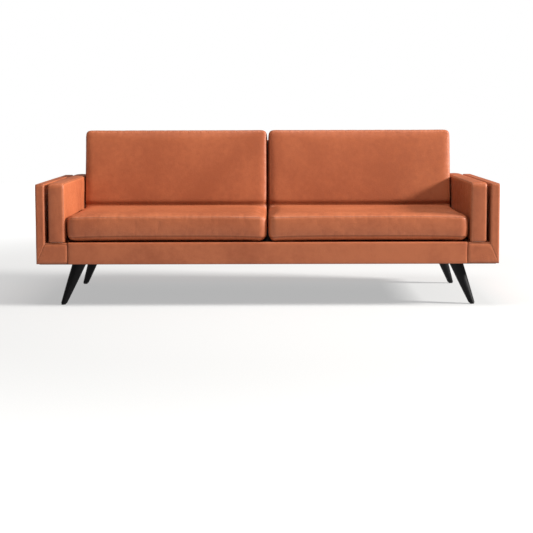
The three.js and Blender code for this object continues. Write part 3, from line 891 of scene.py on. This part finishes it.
class SOFA_OT_back_cover(bpy.types.Operator):
    """Makes the leather of the raked back, with the skirt that hangs from it over the rear rail"""

    bl_idname = "sofa.back_cover"
    bl_label = "Back cover"

    def execute(self, context):
        # The box is bent at the knee: q runs up the skirt and then up the rake of the slab, and t runs from
        # the rear face forwards. The slab's front starts level with the CAD cover's foot.
        skirt_hem = 0.01
        axes = raked_axes()
        up, front = axes[1], axes[2]
        points = cad_points("back_cover")
        low, high = points.min(axis=0), points.max(axis=0)
        skirt = points[points[:, 2] < low[2] + skirt_hem]
        skirt_y, skirt_wall = skirt[:, 1].max(), np.ptp(skirt[:, 1])
        foot = points[points[:, 1] < skirt_y - 2 * skirt_wall, 2].min()
        slab = (points @ axes.T)[points[:, 2] > (low[2] + high[2]) / 2]
        top, rear, slab_front = slab[:, 1].max(), slab[:, 2].min(), slab[:, 2].max()
        knee = (skirt_y - rear * front[1]) / up[1]
        knee_z = knee * up[2] + rear * front[2]

        hang, rise = knee_z - low[2], top - knee
        p = stations(high[0] - low[0], 0.03, *NEAR)
        q = two_runs(hang, rise, 0.02, NEAR[:1], NEAR)
        t = stations(slab_front - rear, 0.014, *NEAR)
        box = SewnBox(p, q, t, radius=0.003, crown=(0.001, 0.001), shoulder=0.03, groove=0.001,
                      pucker=0.0005, unevenness=0.0012, seed=101)
        box.crease(p[len(p) // 2], depth=0.001)

        along = box.points[:, 1] + (hang + rise) / 2
        over = (box.points[:, 2] - t[0]) / (t[-1] - t[0])
        hanging = along < hang
        climb, forward = knee + along - hang, rear + over * (slab_front - rear)
        slab_y = climb * up[1] + forward * front[1]
        slab_z = climb * up[2] + forward * front[2]
        lift = np.maximum(0, foot - slab_z) * over
        y = np.where(hanging, skirt_y - over * skirt_wall, slab_y + lift * up[1] / up[2])
        z = np.where(hanging, low[2] + along, slab_z + lift)
        x = box.points[:, 0] + (low[0] + high[0]) / 2
        leather_cover("back_leather", box, np.column_stack((x, y, z)), "back_cover")
        return {"FINISHED"}


class SOFA_OT_linings(bpy.types.Operator):
    """Makes the cloths that the cushions hide: the deck pad, the back lining and the dust cover"""

    bl_idname = "sofa.linings"
    bl_label = "Linings"

    def execute(self, context):
        low, high = extent("deck_pad", UPRIGHT_AXES)
        size = high - low
        cells_apart = 8
        p, q = (stations(size[i], 0.024, 0.004, 0.012) for i in (0, 1))
        t = stations(size[2], 0.006, 0.003)
        box = SewnBox(p, q, t, radius=0.01, crown=(0, -0.0035), shoulder=0.03, pucker=0.0003,
                      unevenness=0.0003, seed=121)
        for at in p[cells_apart:-cells_apart:cells_apart]:
            box.crease(at, depth=0.002)
        piece = sewn_piece("deck_cloth", box, box.points + (low + high) / 2)
        soften(piece)
        dress(piece, black_cloth(), "frame", "black_cloth", "deck_pad")

        axes = raked_axes()
        low, high = extent("back_lining", axes)
        self.cloth("back_cloth", low, high, axes, (), "back_lining", ["back_cover"])
        low, high = extent("dust_cover", FLOOR_AXES)
        heads = [np.array(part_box(f"leg_plate_{place}")).mean(axis=0) @ FLOOR_AXES.T for place in LEG_PLACES]
        arms = ["arm_cover_left", "arm_cover_right"]
        self.cloth("dust_cloth", low, high, FLOOR_AXES, heads, "dust_cover", arms)
        return {"FINISHED"}

    def cloth(self, name, low, high, axes, heads, node, held_by):
        """A cloth stretched flat in the outer face of its CAD node, with a round hole at each head.

        It is a grid, a little slack towards its middle. Points inside a hole's rim are drawn out onto it,
        and the cells within are left out.
        """
        clearance, cell, most_slack, thickness, below_face = 0.004, 0.012, 0.0006, 0.0008, 0.0006
        hole = bpy.context.scene.sofa.legs.head + clearance
        counts = np.maximum(((high - low)[:2] / cell).round().astype(int), 2)
        across, along = (np.linspace(low[i], high[i], counts[i] + 1) for i in (0, 1))
        flat = np.stack(np.meshgrid(across, along, indexing="ij"), axis=-1)
        number = np.arange(flat[..., 0].size).reshape(flat.shape[:2])
        quads = grid_quads(number)
        flat = flat.reshape(-1, 2)
        for head in heads:
            away = flat - head[:2]
            reach = np.linalg.norm(away, axis=1)
            quads = quads[(reach[quads] > hole - 0.4 * cell).all(axis=1)]
            near = reach < hole + 0.6 * cell
            flat[near] = head[:2] + away[near] * (hole / np.maximum(reach[near], TINY))[:, None]
        used, quads = np.unique(quads, return_inverse=True)
        flat = flat[used]
        span = np.sin(np.pi * (flat - low[:2]) / (high - low)[:2]).prod(axis=1)
        slack = most_slack * drift(flat, len(name), longest=0.4) * smooth(span, 0, 0.3)
        points = np.column_stack((flat, high[2] - below_face + slack)) @ axes
        piece = make_mesh(name, points, quads.reshape(-1, 4))
        wall = piece.modifiers.new("wall", "SOLIDIFY")
        wall.thickness = thickness
        wall.offset = -1
        dress(piece, black_cloth(), "frame", "black_cloth", node)


class SOFA_OT_legs(bpy.types.Operator):
    """Turns the four tapered legs and leans each one out from the sofa"""

    bl_idname = "sofa.legs"
    bl_label = "Legs"

    def execute(self, context):
        for place in LEG_PLACES:
            node = f"leg_{place}"
            foot, head = self.axis_of(node)
            piece = self.turn(f"leg_wood_{place}", foot, head, context.scene.sofa.legs)
            dress(piece, stained_grain(), "frame", "black_stained_wood", node)
        return {"FINISHED"}

    def axis_of(self, node, level=0.0001):
        """The centres of a leg's foot and head: the middles of its lowest and its highest points."""
        points = cad_points(node)
        foot = points[points[:, 2] < points[:, 2].min() + level]
        head = points[points[:, 2] > points[:, 2].max() - level]
        return (foot.min(axis=0) + foot.max(axis=0)) / 2, (head.min(axis=0) + head.max(axis=0)) / 2

    def turn(self, name, foot, head, turning, sides=56, rings=30, belly=0.0008):
        """A turned leg, round its axis from foot to head, with both ends level.

        Its radius grows from foot to head in a line, plus a half wave of a sine, and the rims of both ends
        are rounded off.
        """
        foot_rim, head_rim = (0.004, 0.0016, 0.0003), (0.0004, 0.004)
        rise = np.concatenate(([0, 0, 0.004, 0.01], np.linspace(0.02, 0.997, rings), [1, 1]))
        radius = turning.foot + (turning.head - turning.foot) * rise + belly * np.sin(math.pi * rise)
        radius[:3] = radius[0] - np.array(foot_rim)
        radius[-2:] = radius[-3] - np.array(head_rim)
        angles = np.linspace(0, 2 * math.pi, sides, endpoint=False)
        circle = np.stack((np.cos(angles), np.sin(angles)), axis=-1)
        flat = radius[:, None, None] * circle
        lean = foot[:2] + rise[:, None] * (head - foot)[:2]
        height = np.broadcast_to((rise * (head[2] - foot[2]))[:, None, None], flat[..., :1].shape)
        points = np.concatenate((flat + lean[:, None], height + foot[2]), axis=-1)
        grain = np.concatenate((flat, height), axis=-1)
        faces = tube_faces(len(rise), sides)
        return make_mesh(name, points.reshape(-1, 3), faces, {"grain": grain.reshape(-1, 3)})


class SOFA_OT_hidden_parts(bpy.types.Operator):
    """Finishes the frame's own parts: timber, webbing, foam, plates, bolts and glides"""

    bl_idname = "sofa.hidden_parts"
    bl_label = "Frame parts"

    def execute(self, context):
        webbing = {"dark": (0.02, 0.018, 0.016, 1), "light": (0.09, 0.08, 0.07, 1), "pitch": 0.0022}
        steel = {"colour": (0.5, 0.51, 0.53, 1), "worn": (0.36, 0.37, 0.38, 1), "roughness": 0.38,
                 "metallic": 1.0, "scale": 120.0, "depth": 0.00008}
        nylon = {"colour": (0.012, 0.012, 0.013, 1), "worn": (0.03, 0.03, 0.03, 1), "roughness": 0.55,
                 "scale": 500.0}
        finishes = {
            "frame_beech": cached("planed_beech", planed_wood_material),
            "webbing": cached("woven_webbing", woven_material, **webbing),
            "cushion_foam": cached("open_foam", foam_material),
            "zinc_steel": cached("plated_steel", plain_finish, **steel),
            "black_nylon": cached("moulded_nylon", plain_finish, **nylon),
            "black_stained_wood": stained_grain(),
            "saddle_leather": leather(),
            "black_cloth": black_cloth(),
        }
        for part in frame["record"]["subparts"]:
            for slot in frame["nodes"][part["node"]].material_slots:
                slot.material = finishes[part["material_slot"]]
        return {"FINISHED"}


class SOFA_OT_studio(bpy.types.Operator):
    """Lays a plain pale floor and sets up soft light and the camera"""

    bl_idname = "sofa.studio"
    bl_label = "Studio"
    SEAT_HEIGHT = 0.45

    def execute(self, context):
        setup = context.scene.sofa.studio
        self.floor()
        overhead = 0.038 * setup.key_power
        warm, soft = (1, 0.985, 0.95), (1, 0.99, 0.97)
        self.light("key", setup.key_power, place=(11.6, -2.15, 5.6), size=(2.4, 2.0), colour=warm)
        self.light("overhead", overhead, place=(0.3, -1.0, 4.6), size=(3.0, 1.6), colour=soft)
        self.sky(context.scene, setup.sky)
        context.scene.view_settings.view_transform = "Standard"
        self.camera(context.scene, setup)
        return {"FINISHED"}

    def sky(self, scene, strength):
        """Even light from all round, with a white backdrop where nothing stands in front of it."""
        world = bpy.data.worlds.new("studio")
        world.use_nodes = True
        nodes, links = world.node_tree.nodes, world.node_tree.links
        around = nodes["Background"]
        around.inputs["Color"].default_value = (1, 1, 1, 1)
        around.inputs["Strength"].default_value = strength
        backdrop = nodes.new("ShaderNodeBackground")
        backdrop.inputs["Color"].default_value = (1, 1, 1, 1)
        mix = nodes.new("ShaderNodeMixShader")
        links.new(nodes.new("ShaderNodeLightPath").outputs["Is Camera Ray"], mix.inputs[0])
        links.new(around.outputs[0], mix.inputs[1])
        links.new(backdrop.outputs[0], mix.inputs[2])
        links.new(mix.outputs[0], nodes["World Output"].inputs["Surface"])
        scene.world = world

    def floor(self):
        """A level square that reaches past the view, mat all over, with a painted glow that is faint near the
        sofa and white further out.
        """
        reach, darker, paler = 9.0, (0.33, 0.33, 0.33, 1), (0.36, 0.36, 0.36, 1)
        corners = np.array(((-1, -1, 0), (1, -1, 0), (1, 1, 0), (-1, 1, 0))) * reach
        floor = make_mesh("floor", corners, [(0, 1, 2, 3)])
        tree = Tree("floor_paint")
        at = tree.place()
        speck = tree.noise(at, scale=180)
        # The floor's glow is painted light: faint near the sofa, white further out.
        away = tree.add("ShaderNodeVectorMath", {0: at}, operation="LENGTH").outputs["Value"]
        tree.put(tree.shader, {
            "Base Color": tree.mix(tree.range(speck, (0.3, 0.7)), darker, paler), "Specular IOR Level": 0.1,
            "Roughness": tree.range(speck, (0, 1), (0.85, 0.95)), "Emission Color": (1, 1, 1, 1),
            "Emission Strength": tree.range(away, (1.6, 5.0), (0.44, 0.97))})
        floor.data.materials.append(tree.material)

    def light(self, name, power, place, size, colour):
        """An area light that faces the middle of the seat."""
        lamp = bpy.data.lights.new(name, "AREA")
        lamp.shape = "RECTANGLE"
        lamp.size, lamp.size_y = size
        lamp.energy = power
        lamp.color = colour
        holder = bpy.data.objects.new(name, lamp)
        aim = Vector((0, 0, self.SEAT_HEIGHT)) - Vector(place)
        holder.matrix_world = Matrix.Translation(place) @ aim.to_track_quat("-Z", "Y").to_matrix().to_4x4()
        bpy.context.scene.collection.objects.link(holder)

    def camera(self, scene, setup):
        """The camera stands in front of the middle, almost square to the sofa, and looks down a little."""
        view = bpy.data.cameras.new("camera")
        view.lens = setup.lens
        view.sensor_width = 36
        view.shift_x, view.shift_y = -0.0029, -0.0947
        view.clip_end = 60
        holder = bpy.data.objects.new("camera", view)
        aside, yaw, roll = 0.018, 0.0027, -0.0026
        stand = Matrix.Translation((aside, -setup.distance, setup.height))
        turn = Matrix.Rotation(yaw, 4, "Z") @ Matrix.Rotation(math.pi / 2 - setup.pitch, 4, "X")
        holder.matrix_world = stand @ turn @ Matrix.Rotation(roll, 4, "Z")
        scene.collection.objects.link(holder)
        scene.camera = holder


class SOFA_PT_pieces(bpy.types.Panel):
    """Lists the sofa's settings and its pieces"""

    bl_idname = "SOFA_PT_pieces"
    bl_label = "Sofa"
    bl_space_type = "VIEW_3D"
    bl_region_type = "UI"
    bl_category = "Sofa"

    def draw(self, context):
        groups = context.scene.sofa
        for name in ("leather", "cushions", "legs", "studio"):
            box = self.layout.box()
            group = getattr(groups, name)
            for key in group.__annotations__:
                box.prop(group, key)
        for operator in OPERATORS:
            self.layout.operator(operator.bl_idname)


SETTINGS = (LeatherLook, CushionCut, LegTurning, StudioSetup, SofaSettings)
OPERATORS = (
    SOFA_OT_hidden_parts, SOFA_OT_seat_cushions, SOFA_OT_back_cushions, SOFA_OT_arm_pads, SOFA_OT_arm_covers,
    SOFA_OT_front_rail, SOFA_OT_back_cover, SOFA_OT_linings, SOFA_OT_legs, SOFA_OT_studio,
)


def register():
    for cls in (*SETTINGS, *OPERATORS, SOFA_PT_pieces):
        bpy.utils.register_class(cls)
    bpy.types.Scene.sofa = PointerProperty(type=SofaSettings)


def unregister():
    del bpy.types.Scene.sofa
    for cls in reversed((*SETTINGS, *OPERATORS, SOFA_PT_pieces)):
        bpy.utils.unregister_class(cls)


def main():
    register()
    for operator in OPERATORS:
        group, name = operator.bl_idname.split(".")
        getattr(getattr(bpy.ops, group), name)()


if __name__ == "__main__":
    main()
